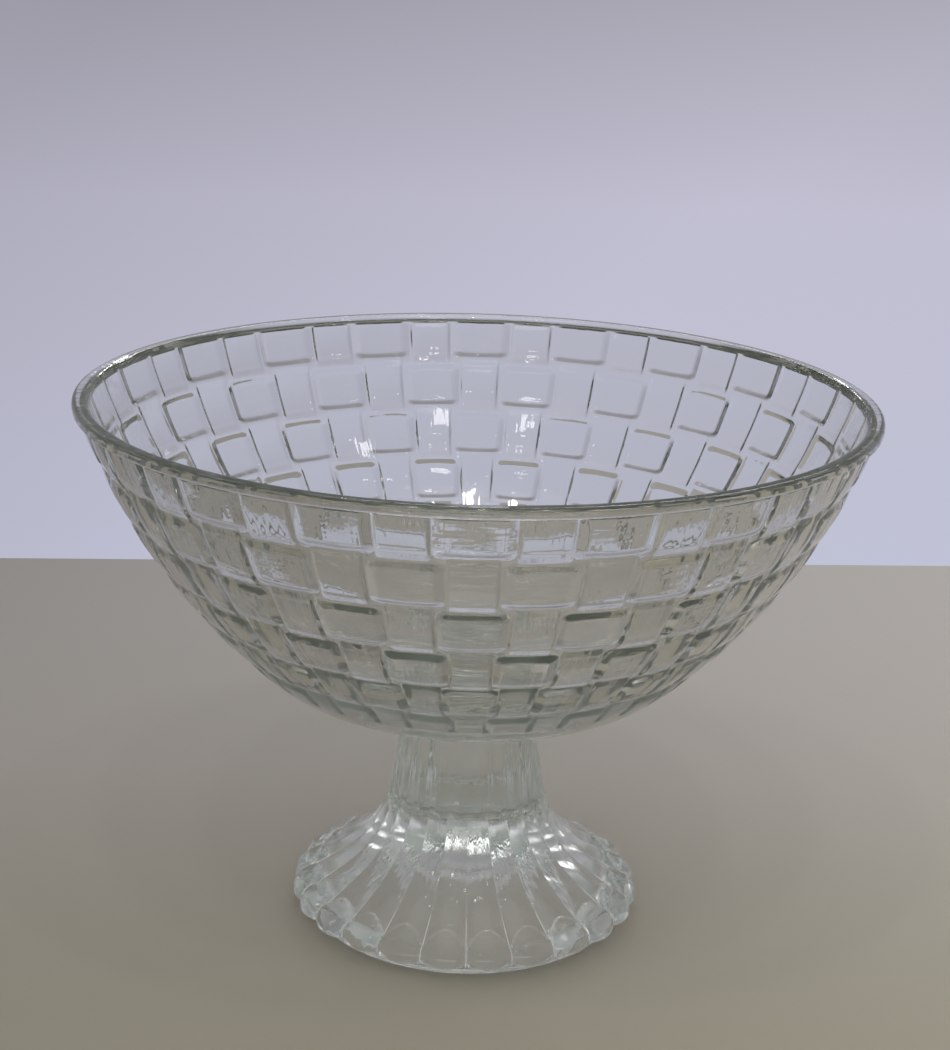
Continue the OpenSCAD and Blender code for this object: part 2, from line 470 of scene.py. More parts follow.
@dataclass(frozen=True)
class BasketWeave:
    """The moulded weave: upright stakes that pass over and under flat weavers.

    Places round the bowl are counted in stakes, and places down the wall in rows. The tops and feet
    are half widths of a strip, as shares of its step.

    Attributes:
        first_row: Distance along the wall from its top to the first row's middle.
        depth: Height of the strips above the ground between them.
        stake_dive: Where a stake starts to dive and where it is down, from its crossing's middle.
        weaver_dive: The same for a weaver.
        crowning: Share of its height that a strip's top loses towards its sides.
        stake_arch: Share of its height that a stake loses towards a dive.
        weaver_bow: How much a weaver widens in the middle, on each side.
        over_from: How far from its crossing's middle a weaver still counts as lying on top.
        over_blend: Width of the change from weaver to stake.
        across_samples: Columns of the mesh in half a stake's step.
        along_samples: Rings of the mesh in half a row.
        sample_gap: Least distance of a ring from the first and the last one.
    """

    stakes: int = 40
    rows: int = 6
    row_pitch: float = 18.3
    first_row: float = 9.1
    depth: float = 1.2
    stake_top: float = 0.33
    stake_foot: float = 0.425
    weaver_top: float = 0.26
    weaver_foot: float = 0.43
    stake_dive: Span = (0.34, 0.61)
    weaver_dive: Span = (0.40, 0.64)
    crowning: float = 0.12
    stake_arch: float = 0.38
    weaver_bow: float = 0.045
    over_from: float = 0.65
    over_blend: float = 0.3
    across_samples: tuple[float, ...] = (0.0, 0.14, 0.26, 0.325, 0.345, 0.365, 0.39, 0.41, 0.43)
    along_samples: tuple[float, ...] = (0.0, 0.1, 0.2, 0.255, 0.285, 0.315, 0.345, 0.375, 0.405, 0.435)
    sample_gap: float = 0.01

    @property
    def end(self) -> float:
        """Distance along the wall at which the plain ring cuts the last row in half."""
        return self.first_row + (self.rows - 1) * self.row_pitch

    def row_of(self, s: float) -> float:
        """Distance along the wall, counted in rows."""
        return 1 + (s - self.first_row) / self.row_pitch

    def columns(self) -> np.ndarray:
        """Lists where columns are needed.

        Returns:
            Places round the bowl, counted in stakes, close together on the bevels.
        """
        right = np.array(self.across_samples)
        one = np.concatenate([-right[:0:-1], right, [0.5]])
        return (np.arange(self.stakes)[:, None] + one[None, :]).ravel()

    def row_places(self, start: float, end: float) -> list[float]:
        """Lists where rings are needed.

        Args:
            start: First place, counted in rows.
            end: Last place, counted in rows.

        Returns:
            Places from start to end, both included, close together on the bevels.
        """
        half = list(self.along_samples)
        one = [-v for v in half[:0:-1]] + half + [0.5]
        low, high = start + self.sample_gap, end - self.sample_gap
        return [start, *(i + v for i in range(self.rows + 1) for v in one if low < i + v < high), end]

    def heights(self, x: np.ndarray, y: float) -> np.ndarray:
        """Gives how high the weave stands along one ring.

        Args:
            x: Places round the bowl, counted in stakes.
            y: Place down the wall, counted in rows.

        Returns:
            Heights from 0 in the ground between strips to 1 on a strip's crown.
        """
        along = self._near_even(y + np.round(x))
        arch = 1.0 - self.stake_arch * np.minimum(1.0, along / self.stake_dive[0]) ** 2
        stake = self._strip(np.abs(x - np.round(x)), self.stake_top, self.stake_foot)
        stake *= self._rise(along, self.stake_dive) * arch
        across = self._near_even(x + round(y) + 1)
        bow = self.weaver_bow * (1.0 - np.minimum(1.0, across / self.weaver_dive[1]) ** 2)
        weaver = self._strip(abs(y - round(y)) - bow, self.weaver_top, self.weaver_foot)
        weaver *= self._rise(across, self.weaver_dive)
        return np.maximum(stake, weaver)

    def weaver_over(self, x: np.ndarray, y: float) -> np.ndarray:
        """Tells, along one ring, how much of the top is a weaver rather than a stake."""
        return smooth_step((self.over_from - self._near_even(x + round(y) + 1)) / self.over_blend)

    def _strip(self, off: np.ndarray, top: float, foot: float) -> np.ndarray:
        """Section of a strip: a slightly crowned top between two bevels."""
        crown = 1.0 - self.crowning * np.minimum(1.0, off / top) ** 2
        return crown * eased_ramp((foot - off) / (foot - top))

    @staticmethod
    def _near_even(v: np.ndarray) -> np.ndarray:
        """Distance to the nearest even number."""
        return np.abs(v - 2 * np.round(v / 2))

    @staticmethod
    def _rise(v: np.ndarray, dive: Span) -> np.ndarray:
        """Height of a strip on its way from over one crossing to under the next."""
        return eased_ramp((dive[1] - v) / (dive[1] - dive[0]))


@dataclass
class WovenBowl:
    """The bowl: basket weave outside, smooth inside, with a rounded rim bead.

    Attributes:
        bead_proud: How far the bead stands out from the crowns of the weave.
        bead_under: How far in and down the bead's underside starts.
        bead_lip: Height over which the bead's lower edge rounds up.
        mouth_share: Where the inside wall starts below the rim, in roundings of the rim.
        groove_share: Share of the groove's depth at its last ring.
        groove_drop: How far that ring lies below the bead.
        groove_blend: Steps in which the weave's top sinks into the groove.
        floor_shares: Rings of the flat floor, as shares of its radius.
        plain_bevel: Length of the slope from the plain ring on the turn up to the last row.
        plain_steps: Rings on that slope.
        outer_curve: Lean in degrees, side radius and turn radius of the outside.
        inner_curve: The same for the inside.
    """

    rim_radius: float = 125.0
    height: float = 95.5
    base_z: float = 79.8
    rim_width: float = 4.8
    bead_height: float = 3.0
    bead_proud: float = 0.6
    bead_under: Point = (0.2, 0.1)
    bead_lip: float = 0.9
    rim_round: float = 1.5
    mouth_share: float = 1.2
    groove_depth: float = 0.9
    groove_share: float = 0.6
    groove_drop: float = 0.25
    groove_blend: tuple[float, ...] = (0.35, 0.7, 1.0)
    floor_thickness: float = 6.0
    floor_shares: tuple[float, ...] = (0.75, 0.5, 0.25)
    pad_radius: float = 26.0
    pad_height: float = 0.6
    pad_soft: float = 0.3
    plain_bevel: float = 0.95
    plain_steps: int = 4
    outer_curve: tuple[float, float, float] = (17.0, 190.0, 28.0)
    inner_curve: tuple[float, float, float] = (18.5, 182.0, 32.0)
    turn_rings: int = 14
    inside_rings: int = 30
    fold_deg: float = 50.0
    weave: BasketWeave = field(default_factory=BasketWeave)
    glass: PressedGlass = field(
        default_factory=lambda: PressedGlass(
            "pressed_glass_bowl", tint=(0.5, 0.55, 0.49), density=12.0, film=(0.915, 0.92, 0.90)
        )
    )

    @property
    def top_z(self) -> float:
        """Height of the rim's top."""
        return self.base_z + self.height

    @property
    def floor_z(self) -> float:
        """Height of the floor's upper side."""
        return self.base_z + self.floor_thickness

    @property
    def outer(self) -> WallCurve:
        """The outside at the crowns of the weave."""
        base_z = self.base_z + self.pad_height
        return WallCurve(self.rim_radius - self.bead_proud, self.top_z - base_z, base_z, *self.outer_curve)

    @property
    def inner(self) -> WallCurve:
        """The smooth inside."""
        radius = self.rim_radius - self.rim_width
        return WallCurve(radius, self.top_z - self.floor_z, self.floor_z, *self.inner_curve)

    def build(self) -> bpy.types.Object:
        """Builds the bowl's mesh.

        Returns:
            The bowl, which stands for its CAD node.
        """
        places = self.weave.columns()
        angles = places * FULL_TURN / self.weave.stakes
        under = [ring_at(angles, r, z) for r, z in self._underside()]
        woven = self._woven_rings(places, angles)
        smooth = [ring_at(angles, r, z) for r, z in self._rim() + self._inside()]
        piece = skin("woven_bowl", under + woven + smooth, self.base_z, self.floor_z, self.fold_deg)
        self._mark_weavers(piece, len(under), places)
        piece.data.materials.append(self.glass.material())
        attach(piece, Body.ROOT.value)
        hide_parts(Node.BOWL.value)
        return piece

    def _underside(self) -> list[Point]:
        """Draws the pad, the flat underside and the plain ring on the turn.

        Returns:
            The outline, from under the pad outwards.
        """
        curve, pad, low, soft = self.outer, self.pad_radius, self.base_z, self.pad_soft
        high = low + self.pad_height
        plain_from = self.weave.end + self.plain_bevel
        points = [(pad / 2, low)]
        points += rounded((pad - soft, low), (pad, low), (pad + soft, high - soft * 2 / 3), steps=3)
        foot = (pad + soft * 4 / 3, high - soft / 3)
        points += rounded(foot, (pad + soft * 2, high), (pad + soft * 4, high), steps=3)
        for i in range(self.turn_rings):
            points.append(curve.point_at(curve.length + (plain_from - curve.length) * i / self.turn_rings))
        return points

    def _woven_rings(self, places: np.ndarray, angles: np.ndarray) -> list[np.ndarray]:
        """Rings from the plain ring up through the weave to the groove under the bead.

        Args:
            places: Places round the bowl, counted in stakes.
            angles: The same places as angles.

        Returns:
            The rings, from the lowest up.
        """
        weave = self.weave
        rings = []
        last = weave.heights(places, float(weave.rows))
        for i in range(self.plain_steps):
            share = i / self.plain_steps
            s = weave.end + self.plain_bevel * (1 - share)
            rings.append(self._sunk_ring(angles, s, smooth_step(np.array(share)) * (1 - last)))
        rows = self._weave_rows()
        for y in rows:
            s = weave.first_row + (y - 1) * weave.row_pitch
            rings.append(self._sunk_ring(angles, s, 1 - weave.heights(places, y)))
        first = weave.heights(places, rows[-1])
        ground = 1 - self.groove_depth / weave.depth
        groove_s = self.bead_height + self.bead_proud
        for t in self.groove_blend:
            high = first + (np.minimum(first, ground) - first) * t
            rings.append(self._sunk_ring(angles, groove_s + self.bead_proud * (1 - t), 1 - high))
        return rings

    def _mark_weavers(self, piece: bpy.types.Object, first: int, places: np.ndarray) -> None:
        """Stores on the mesh where a weaver lies on top, for the lines in the finish.

        Args:
            piece: The bowl.
            first: How many rings lie below the weave.
            places: Places round the bowl, counted in stakes.
        """
        n = len(places)
        over = np.zeros(len(piece.data.vertices))
        rows = [float(self.weave.rows)] * self.plain_steps + self._weave_rows()
        for i, y in enumerate(rows):
            over[(first + i) * n:(first + i + 1) * n] = self.weave.weaver_over(places, y)
        piece.data.attributes.new("weaver_over", "FLOAT", "POINT").data.foreach_set("value", over)

    def _weave_rows(self) -> list[float]:
        """Places of the rings in the weave, counted in rows, from the lowest up."""
        start = self.weave.row_of(self.bead_height + 2 * self.bead_proud)
        return list(reversed(self.weave.row_places(start, float(self.weave.rows))))

    def _sunk_ring(self, angles: np.ndarray, s: float, sunk: np.ndarray) -> np.ndarray:
        """Places a ring of the outside, moved into the glass.

        Args:
            angles: The angle of each point from the front.
            s: Distance along the wall from its top.
            sunk: How far each point moves in, as a share of the weave's depth.

        Returns:
            The ring.
        """
        lean = self.outer.lean_at(s)
        radius, height = self.outer.point_at(s)
        depth = self.weave.depth * sunk
        return ring_at(angles, radius - depth * math.cos(lean), height + depth * math.sin(lean))

    def _rim(self) -> list[Point]:
        """Draws the bead.

        Returns:
            The outline, from the groove over the top to the inside.
        """
        r, top, soft = self.rim_radius, self.top_z, self.rim_round
        neck = r - self.bead_proud
        low = top - self.bead_height
        inside = self.inner
        mouth = inside.point_at(soft * self.mouth_share)
        under = (neck - self.bead_under[0], low - self.bead_under[1])
        points = [(neck - self.groove_depth * self.groove_share, low - self.groove_drop)]
        points += rounded(under, (r, low), (r, low + self.bead_lip), steps=4)
        points += rounded((r, top - soft), (r, top), (r - soft, top), steps=7)
        points += rounded((inside.top_radius + soft, top), (inside.top_radius, top), mouth, steps=7)
        return points

    def _inside(self) -> list[Point]:
        """Draws the smooth inside.

        Returns:
            The outline, from below the rim to the middle of the floor.
        """
        curve = self.inner
        start = self.rim_round * self.mouth_share
        points = []
        for i in range(1, self.inside_rings + 1):
            points.append(curve.point_at(start + (curve.length - start) * i / self.inside_rings))
        flat = points[-1]
        points += [(flat[0] * share, flat[1]) for share in self.floor_shares]
        return points


@dataclass
class LobedPedestal:
    """The hollow pedestal: a ribbed stem that flares into a base with rounded lobes.

    Attributes:
        toe_lift: Height of the toe's upright part, as a share of its radius.
        toe_start: The first point under the toe: out from the foot, up from its height, and lean.
        toe_side: The second point: up from the foot's height, and lean.
        lobe_samples: Columns of the mesh in one lobe, from crease to crease.
        foot_start: Height at which the foot's inner edge starts to round.
        foot_gap: How far the foot's last point lies below the lobes.
        mouth_low: Height at which the mouth's rounding ends.
        hollow_steps: Steps round the hollow's top, and down its side.
        tip_depth: Height of a lobe's raised tip.
        tip_haze: How unpolished the line at its start is.
        tip_line: Half the width of that line.
        tip_from: Radius at which a tip starts, at the crown and at the crease.
        tip_soft: Length over which it rises.
        crease_haze: How unpolished a crease is, and the column next to it.
        haze_from: Radius from which the creases lose their polish.
        hollow_haze: How unpolished the hollow is.
    """

    height: float = 79.5
    base_radius: float = 57.75
    stem_radius: float = 20.0
    stem_round: float = 1.2
    stem_lean_deg: float = 8.0
    flare_radius: float = 36.0
    flare_lean_deg: float = 60.0
    toe_radius: float = 6.0
    toe_lift: float = 0.125
    toe_start: tuple[float, float, float] = (1.6, -0.25, -1.2)
    toe_side: tuple[float, float] = (0.1, -0.6)
    lobes: int = 24
    lobe_depth: float = 2.0
    lobe_turn_deg: float = 1.3
    lobe_samples: tuple[float, ...] = (
        0.0, 0.02, 0.05, 0.1, 0.17, 0.25, 0.33, 0.42, 0.5, 0.58, 0.67, 0.75, 0.83, 0.9, 0.95, 0.98,
    )
    foot_radius: float = 52.0
    foot_height: float = 4.0
    foot_width: float = 6.0
    foot_start: float = 0.72
    foot_soft: float = 0.8
    foot_gap: float = 0.5
    mouth_height: float = 7.0
    mouth_low: float = 0.9
    hollow_height: float = 30.0
    hollow_top_radius: float = 12.0
    cap_share: float = 0.5
    toe_steps: int = 8
    slope_steps: int = 30
    flare_steps: int = 48
    stem_steps: int = 8
    hollow_steps: tuple[int, int] = (12, 8)
    fold_deg: float = 80.0
    tip_depth: float = 0.8
    tip_haze: float = 0.8
    tip_line: float = 0.8
    tip_from: Span = (48.4, 53.6)
    tip_soft: float = 0.8
    crease_haze: Span = (1.0, 0.5)
    haze_from: float = 30.0
    hollow_haze: float = 0.3
    glass: PressedGlass = field(
        default_factory=lambda: PressedGlass(
            "pressed_glass_pedestal", stake_lines=(24.0, 1.5), lines_detail=0.5, lines_depth=0.00012,
            haze=0.35, clarity=0.985, frost=0.22,
        )
    )

    def build(self) -> bpy.types.Object:
        """Builds the pedestal's mesh.

        Returns:
            The pedestal, which stands for its CAD node.
        """
        angles = self._shares() * FULL_TURN / self.lobes + math.radians(self.lobe_turn_deg)
        hollow = self._hollow()
        rings = [ring_at(angles, r, z) for r, z in hollow + self._foot()]
        inner = len(rings)
        sunk, tip_start, outline = self._sunk(), self._tip_start(), self._outline()
        for r, z, lean in outline:
            depth = self.lobe_depth * (r / self.base_radius) ** 2 * sunk
            if lean > 0:
                depth -= self.tip_depth * smooth_step((r - tip_start) / self.tip_soft) * math.sin(lean)
            rings.append(ring_at(angles, r - depth * math.cos(lean), z - depth * math.sin(lean)))
        top = self.stem_radius - self.stem_round - self.lobe_depth
        rings.append(ring_at(angles, top * self.cap_share, self.height))
        piece = skin("lobed_pedestal", rings, self.hollow_height, self.height, self.fold_deg)
        self._mark_haze(piece, len(hollow), inner, [r for r, _, _ in outline])
        piece.data.materials.append(self.glass.material())
        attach(piece, Body.ROOT.value)
        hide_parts(Node.PEDESTAL.value)
        return piece

    def _shares(self) -> np.ndarray:
        """Places round the pedestal, counted in lobes."""
        return (np.arange(self.lobes)[:, None] + np.array(self.lobe_samples)).ravel()

    def _sunk(self) -> np.ndarray:
        """How near each place is to a crease, from 0 at a lobe's crown to 1 in the crease."""
        return (2 * (self._shares() % 1.0) - 1) ** 2

    def _tip_start(self) -> np.ndarray:
        """The radius from which a lobe's raised tip runs out, at each place round the pedestal."""
        return self.tip_from[0] + (self.tip_from[1] - self.tip_from[0]) * self._sunk()

    def _mark_haze(self, piece: bpy.types.Object, hollow: int, inner: int, radii: list[float]) -> None:
        """Stores on the mesh where the flame's polish doesn't reach: in the hollow and in the creases.

        Args:
            piece: The pedestal.
            hollow: How many rings make the hollow.
            inner: How many rings lie below the lobes.
            radii: The radius of each ring of the lobes.
        """
        line = np.zeros(len(self.lobe_samples))
        line[[0, 1, -1]] = (self.crease_haze[0], self.crease_haze[1], self.crease_haze[1])
        around = np.tile(line, self.lobes)
        n = len(around)
        matt = np.zeros(len(piece.data.vertices))
        matt[:hollow * n] = self.hollow_haze
        reach = smooth_step((np.array(radii) - self.haze_from) / (self.foot_radius - self.haze_from))
        off = np.abs(np.array(radii)[:, None] - self._tip_start() - self.tip_soft / 2)
        edge = self.tip_haze * np.clip(1 - off / self.tip_line, 0.0, 1.0)
        matt[inner * n:(inner + len(radii)) * n] = np.maximum(reach[:, None] * around, edge).ravel()
        piece.data.attributes.new("unpolished", "FLOAT", "POINT").data.foreach_set("value", matt)

    def _hollow(self) -> list[Point]:
        """Draws the hollow.

        Returns:
            The outline, from the rounded top down to the mouth.
        """
        mouth = self.foot_radius - self.foot_width
        mid = self.hollow_height - self.hollow_top_radius
        rise = mid - self.mouth_height
        slope = math.atan2(rise, mouth) + math.asin(self.hollow_top_radius / math.hypot(mouth, rise))
        turn_steps, side_steps = self.hollow_steps
        points = []
        for i in range(1, turn_steps + 1):
            a = slope * i / turn_steps
            points.append((self.hollow_top_radius * math.sin(a), mid + self.hollow_top_radius * math.cos(a)))
        end = (mouth, self.mouth_height)
        points += straight(points[-1], end, side_steps)
        points += rounded(points[-1], end, (mouth, self.mouth_low), steps=5)
        return points

    def _foot(self) -> list[Point]:
        """Draws the ring that stands on the table.

        Returns:
            The outline, from its inner edge to its outer edge.
        """
        inner, outer, soft = self.foot_radius - self.foot_width, self.foot_radius, self.foot_soft
        points = rounded((inner, self.foot_start), (inner, 0), (inner + soft, 0), steps=4)
        points += rounded((outer - soft, 0), (outer, 0), (outer, soft), steps=4)
        points.append((outer, self.foot_height - self.foot_gap))
        return points

    def _outline(self) -> list[tuple[float, float, float]]:
        """Draws the outside at the crown of a lobe.

        Returns:
            The outline from the toe to the top, as radius, height and lean.
        """
        flare, stem = math.radians(self.flare_lean_deg), math.radians(self.stem_lean_deg)
        toe, big = self.toe_radius, self.flare_radius
        lift = toe * self.toe_lift
        out, up, lean = self.toe_start
        made = [
            (self.foot_radius + out, self.foot_height + up, lean),
            (self.base_radius - lift, self.foot_height + self.toe_side[0], self.toe_side[1]),
        ]
        for i in range(self.toe_steps + 1):
            a = flare * i / self.toe_steps
            rise = lift + toe * math.sin(a)
            made.append((self.base_radius - toe * (1 - math.cos(a)), self.foot_height + rise, a))
        end_r, end_z, _ = made[-1]
        drop = (big * (math.cos(stem) - math.cos(flare)), big * (math.sin(flare) - math.sin(stem)))
        slope, stretch = math.tan(stem), 1 / math.tan(flare)
        to_go = end_r - drop[0] - self.stem_radius - (self.height - end_z - drop[1]) * slope
        width = to_go / (1 - stretch * slope)
        start = (end_r - width, end_z + width * stretch)
        made += [(r, z, flare) for r, z in straight((end_r, end_z), start, self.slope_steps)]
        for i in range(self.flare_steps + 1):
            a = flare + (stem - flare) * i / self.flare_steps
            made.append((
                start[0] - big * (math.cos(a) - math.cos(flare)),
                start[1] + big * (math.sin(flare) - math.sin(a)),
                a,
            ))
        high = (self.stem_radius + self.stem_round * slope, self.height - self.stem_round)
        made += [(r, z, stem) for r, z in straight(made[-1][:2], high, self.stem_steps)]
        top = (self.stem_radius - self.stem_round, self.height)
        made += [(r, z, stem) for r, z in rounded(high, (self.stem_radius, self.height), top, steps=5)]
        return made


@dataclass
class BondFilm:
    """The clear film of adhesive between the pedestal's top and the bowl's pad.

    Attributes:
        clearance: Gap that keeps its faces off those of the glass.
        ripples: The parts of the edge's wander, as share, count round the edge and phase.
    """

    radius: float = 18.06
    bottom_z: float = 79.5
    thickness: float = 0.3
    clearance: float = 0.01
    wander: float = 0.35
    ripples: tuple[tuple[float, int, float], ...] = ((0.6, 3, 0.4), (0.4, 7, 0.0))
    bulge: float = 0.06
    edge_rings: int = 7
    cap_share: float = 0.5
    columns: int = 96
    fold_deg: float = 60.0
    glass: PressedGlass = field(
        default_factory=lambda: PressedGlass("clear_adhesive", tint=(0.95, 0.95, 0.92), density=4.0)
    )

    def build(self) -> bpy.types.Object:
        """Builds the film with an edge that wanders a little, as squeezed adhesive does.

        Returns:
            The film, which stands for its CAD node.
        """
        angles = np.arange(self.columns) * FULL_TURN / self.columns
        wave = sum(share * np.sin(count * angles + phase) for share, count, phase in self.ripples)
        edge = self.radius - self.wander * (1 + wave)
        low = self.bottom_z + self.clearance
        high = self.bottom_z + self.thickness - self.clearance
        rings = [ring_at(angles, edge * self.cap_share, low)]
        for t in np.linspace(0, 1, self.edge_rings):
            out = edge - self.bulge * (1 - math.sin(math.pi * t))
            rings.append(ring_at(angles, out, low + (high - low) * t))
        rings.append(ring_at(angles, edge * self.cap_share, high))
        piece = skin("bond_film", rings, low, high, self.fold_deg)
        piece.data.materials.append(self.glass.material())
        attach(piece, Body.ROOT.value)
        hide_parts(Node.BOND.value)
        return piece


@dataclass(frozen=True)
class Softbox:
    """A soft lamp of the studio."""

    name: str
    place: Place
    size: Span
    power: float
    aim: Place = (0.0, 0.0, 0.05)
    colour: Colour = (1.0, 0.99, 0.97)

    def build(self) -> bpy.types.Object:
        """Hangs the lamp.

        Returns:
            The lamp's object.
        """
        data = bpy.data.lights.new(self.name, "AREA")
        data.shape = "RECTANGLE"
        data.size, data.size_y = self.size
        data.energy = self.power
        data.color = self.colour
        lamp = bpy.data.objects.new(self.name, data)
        lamp.location = self.place
        toward = Vector(self.aim) - Vector(self.place)
        lamp.rotation_euler = toward.to_track_quat("-Z", "Y").to_euler()
        bpy.context.scene.collection.objects.link(lamp)
        return lamp


@dataclass(frozen=True)
class Surround:
    """The plain lavender surround, and the soft white light that comes from it.

    Attributes:
        tones: Heights on the sphere around, from -1 to 1, and their colours.
        light: Strength of the light from the horizon and from above.
        gathered: Gain of the light that the glass gathers on the table.
        gathered_below: Height at which that gain is full, and at which it has gone.
        slant: How the surround's shade leans, as height to one step sideways.
        fade_over: Where that shade begins and ends.
        fade: Strength of the surround on both sides of it.
        before_bounce: Below this diffuse depth, a ray has met no matt surface yet.
    """

    tones: tuple[tuple[float, Colour], ...] = (
        (-0.30, (0.50, 0.51, 0.63)),
        (-0.14, (0.51, 0.50, 0.61)),
        (-0.04, (0.41, 0.40, 0.47)),
        (0.20, (0.31, 0.31, 0.33)),
        (0.45, (0.25, 0.25, 0.25)),
        (0.86, (0.26, 0.26, 0.25)),
        (0.94, (0.95, 0.95, 0.93)),
    )
    light: Span = (0.58, 0.98)
    gathered: float = 2.7
    gathered_below: Span = (0.5, 0.9)
    slant: float = -1.2
    fade_over: Span = (-0.12, 0.29)
    fade: Span = (0.81, 1.05)
    before_bounce: float = 0.5

    def build(self) -> bpy.types.World:
        """Builds the world.

        Returns:
            A world that shows the surround to the camera and through the glass, and lights the rest white.
        """
        world = bpy.data.worlds.new("soft_surround")
        world.use_nodes = True
        world.node_tree.nodes.clear()
        bpy.context.scene.world = world
        bench = NodeBench(world.node_tree)
        toward = bench.add("ShaderNodeTexCoord").outputs["Generated"]
        split = bench.add("ShaderNodeSeparateXYZ", Vector=toward).outputs
        path = bench.add("ShaderNodeLightPath").outputs
        mix = bench.add("ShaderNodeMixShader", Fac=self._seen(bench, path))
        bench.feed(mix.inputs[1], self._light(bench, split["Z"], path["Is Transmission Ray"]))
        bench.feed(mix.inputs[2], self._view(bench, split["X"], split["Z"]))
        bench.add("ShaderNodeOutputWorld", Surface=mix.outputs["Shader"])
        return world

    def _seen(self, bench: NodeBench, path: bpy.types.NodeOutputs) -> Socket:
        """Tells rays that see the surround, also by way of glass or a reflection, from those that light.

        Args:
            bench: The world's nodes.
            path: What is known of the ray.

        Returns:
            1 for a ray that sees the surround, else 0.
        """
        seen = path["Is Camera Ray"]
        for other in ("Is Glossy Ray", "Is Transmission Ray"):
            seen = bench.work_out("MAXIMUM", seen, path[other])
        direct = bench.work_out("LESS_THAN", path["Diffuse Depth"], self.before_bounce)
        return bench.work_out("MULTIPLY", seen, direct)

    def _light(self, bench: NodeBench, height: Socket, came_through: Socket) -> Socket:
        """Adds the soft white light, with the gain of what the glass gathers.

        Args:
            bench: The world's nodes.
            height: Height on the sphere around.
            came_through: 1 for a ray that came through glass, else 0.

        Returns:
            The light.
        """
        gain = bench.mapped(height, self.gathered_below, (self.gathered, 1.0))
        through = bench.mapped(came_through, goes=(1.0, gain))
        strength = bench.work_out("MULTIPLY", bench.mapped(height, goes=self.light), through)
        white = bench.add("ShaderNodeBackground", Color=(1.0, 1.0, 1.0, 1.0), Strength=strength)
        return white.outputs["Background"]

    def _view(self, bench: NodeBench, side: Socket, height: Socket) -> Socket:
        """Adds the surround's own colours, a little darker towards the upper left.

        Args:
            bench: The world's nodes.
            side: Place on the sphere around, from left to right.
            height: Height on the same sphere.

        Returns:
            The surround as it is seen.
        """
        stops = [((place + 1) / 2, colour) for place, colour in self.tones]
        colour = bench.ramp(bench.mapped(height, (-1.0, 1.0)), stops)
        slanted = bench.work_out("MULTIPLY_ADD", height, self.slant, side)
        strength = bench.mapped(slanted, self.fade_over, self.fade)
        return bench.add("ShaderNodeBackground", Color=colour, Strength=strength).outputs["Background"]


@dataclass(frozen=True)
class TableTop:
    """The pale table top, with a straight back edge, and painted light that makes it darker to the left and
    lighter to the right.

    Attributes:
        tones: Colours from the front to the back.
        fade_over: Where the first and the last of them are, along Y.
        painted_side_light: Painted light, as the gain of the colour at the left and at the right.
        side_reach: How far to each side the painted light runs.
        drift_scale: Size of the faint drift of tone, as drifts to the metre.
        drift_gain: Least and greatest gain of the drift.
        clearance: Gap under the bowl's foot.
    """

    tones: tuple[Colour, ...] = ((0.285, 0.262, 0.205), (0.335, 0.308, 0.28), (0.345, 0.322, 0.307))
    fade_over: Span = (-0.08, 0.27)
    painted_side_light: Span = (0.72, 1.22)
    side_reach: float = 0.3
    drift_scale: float = 2.2
    drift_detail: float = 2.0
    drift_gain: Span = (0.94, 1.06)
    roughness: float = 0.75
    back_left: Point = (-1.6, 0.247)
    back_right: Point = (1.6, 0.464)
    front_y: float = -2.2
    thickness: float = 0.03
    clearance: float = 0.0001

    def build(self) -> bpy.types.Object:
        """Builds the table top.

        Returns:
            The floor, which is stage.
        """
        (x0, y0), (x1, y1) = self.back_left, self.back_right
        corners = [(x0, self.front_y), (x1, self.front_y), (x1, y1), (x0, y0)]
        top = -self.clearance
        points = [(x, y, top) for x, y in corners] + [(x, y, top - self.thickness) for x, y in corners]
        faces = [(0, 1, 2, 3), (7, 6, 5, 4)] + [(i, i + 4, (i + 1) % 4 + 4, (i + 1) % 4) for i in range(4)]
        mesh = bpy.data.meshes.new("table_top")
        mesh.from_pydata(points, [], faces)
        floor = bpy.data.objects.new("table_top", mesh)
        bpy.context.scene.collection.objects.link(floor)
        mesh.materials.append(self._material())
        return floor

    def _material(self) -> bpy.types.Material:
        """Builds the finish.

        Returns:
            A matt greige material with a faint drift of tone, and painted light that makes it darker to the
            left and lighter to the right.
        """
        made = bpy.data.materials.new("matt_greige")
        made.use_nodes = True
        bench = NodeBench(made.node_tree)
        shader = made.node_tree.nodes["Principled BSDF"]
        shader.inputs["Roughness"].default_value = self.roughness
        place = bench.add("ShaderNodeTexCoord").outputs["Object"]
        split = bench.add("ShaderNodeSeparateXYZ", Vector=place).outputs
        drift = bench.noise(place, self.drift_scale, self.drift_detail)
        stops = [(i / (len(self.tones) - 1), colour) for i, colour in enumerate(self.tones)]
        colour = bench.ramp(bench.mapped(split["Y"], self.fade_over), stops)
        # Painted light: the colour is scaled down to the left and up to the right, as light falling from the
        # right would do.
        side = bench.mapped(split["X"], (-self.side_reach, self.side_reach), self.painted_side_light)
        shade = bench.work_out("MULTIPLY", side, bench.mapped(drift, goes=self.drift_gain))
        tone = bench.add("ShaderNodeVectorMath", operation="SCALE", Vector=colour, Scale=shade)
        bench.feed(shader.inputs["Base Color"], tone.outputs["Vector"])
        return made


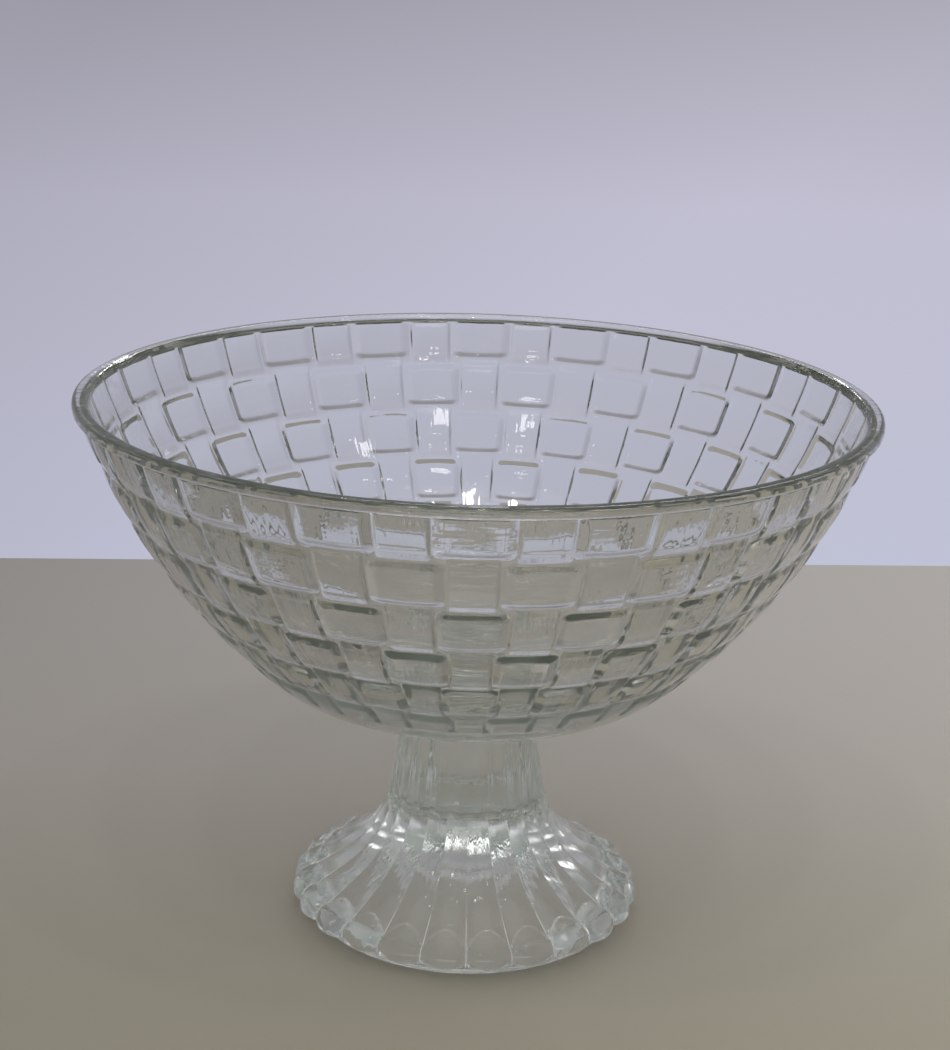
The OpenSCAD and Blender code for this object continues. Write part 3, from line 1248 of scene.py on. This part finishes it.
@dataclass(frozen=True)
class PhotoCamera:
    """The camera, at the photograph's viewing angle.

    Attributes:
        focal_px: Focal length in the photograph's pixels.
        distance: Distance in front of the bowl's axis.
        pitch: How far it looks down, in radians.
        roll: How far it leans to a side, in radians.
        clip: Nearest and farthest distance shown, in metres.
    """

    focal_px: float = 1971.9
    distance: float = 600.28
    height: float = 320.67
    pitch: float = 0.305015
    roll: float = 0.029982
    image_height: int = 1050
    sensor: float = 36.0
    clip: Span = (0.01, 20.0)

    def build(self) -> bpy.types.Object:
        """Places the camera and makes it the scene's own.

        Returns:
            The camera's object.
        """
        data = bpy.data.cameras.new("photo_camera")
        data.sensor_fit = "VERTICAL"
        data.sensor_height = data.sensor_width = self.sensor
        data.lens = self.focal_px / self.image_height * self.sensor
        data.clip_start, data.clip_end = self.clip
        camera = bpy.data.objects.new("photo_camera", data)
        bpy.context.scene.collection.objects.link(camera)
        level, up = Vector((1, 0, 0)), Vector((0, math.sin(self.pitch), math.cos(self.pitch)))
        ahead = Vector((0, math.cos(self.pitch), -math.sin(self.pitch)))
        right = level * math.cos(self.roll) + up * math.sin(self.roll)
        top = up * math.cos(self.roll) - level * math.sin(self.roll)
        turn = Matrix((right, top, -ahead)).transposed().to_4x4()
        camera.matrix_world = Matrix.Translation((0, -self.distance * MM, self.height * MM)) @ turn
        bpy.context.scene.camera = camera
        return camera


@dataclass
class Studio:
    """The table, the surround, the lamps and the camera."""

    table: TableTop = field(default_factory=TableTop)
    surround: Surround = field(default_factory=Surround)
    camera: PhotoCamera = field(default_factory=PhotoCamera)
    glass_bounces: int = 32
    lamps: tuple[Softbox, ...] = (
        Softbox("ceiling_left", (-0.5, -1.2, 1.62), (0.13, 0.11), 0.4),
        Softbox("ceiling_middle", (0.4, -1.24, 1.63), (0.13, 0.11), 0.4),
        Softbox("ceiling_right", (1.09, -0.71, 1.63), (0.13, 0.11), 0.4),
        Softbox("downlight_left", (-0.45, -0.85, 2.3), (0.08, 0.16), 2.4),
        Softbox("downlight_middle", (0.05, -0.95, 2.3), (0.08, 0.16), 2.4),
        Softbox("downlight_right", (0.5, -0.75, 2.3), (0.08, 0.16), 2.4),
        Softbox("back_strip", (0.35, 2.2, 1.35), (1.2, 0.14), 3.0, colour=(1.0, 1.0, 1.0)),
        Softbox("window_band", (0.0, -2.2, 0.42), (2.6, 0.42), 6.0, (0.0, 0.0, 0.16), (0.98, 0.99, 1.0)),
    )

    def build(self) -> None:
        """Sets up the stage."""
        for part in (self.table, self.surround, *self.lamps, self.camera):
            part.build()
        scene = bpy.context.scene
        scene.view_settings.view_transform = "Standard"
        scene.cycles.max_bounces = self.glass_bounces
        scene.cycles.transmission_bounces = self.glass_bounces
        scene.cycles.glossy_bounces = self.glass_bounces


def clear_leftovers() -> None:
    """Removes Blender's starting objects, so that only the frame is left."""
    kept = set(frame["bodies"].values()) | set(frame["nodes"].values())
    for old in [o for o in bpy.data.objects if o not in kept]:
        bpy.data.objects.remove(old)


def main() -> None:
    logging.basicConfig(level=logging.INFO, format="%(name)s: %(message)s")
    clear_leftovers()
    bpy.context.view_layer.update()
    Studio().build()
    for maker in (WovenBowl(), LobedPedestal(), BondFilm()):
        piece = maker.build()
        log.info("%s: %d faces", piece.name, len(piece.data.polygons))


if __name__ == "__main__":
    main()
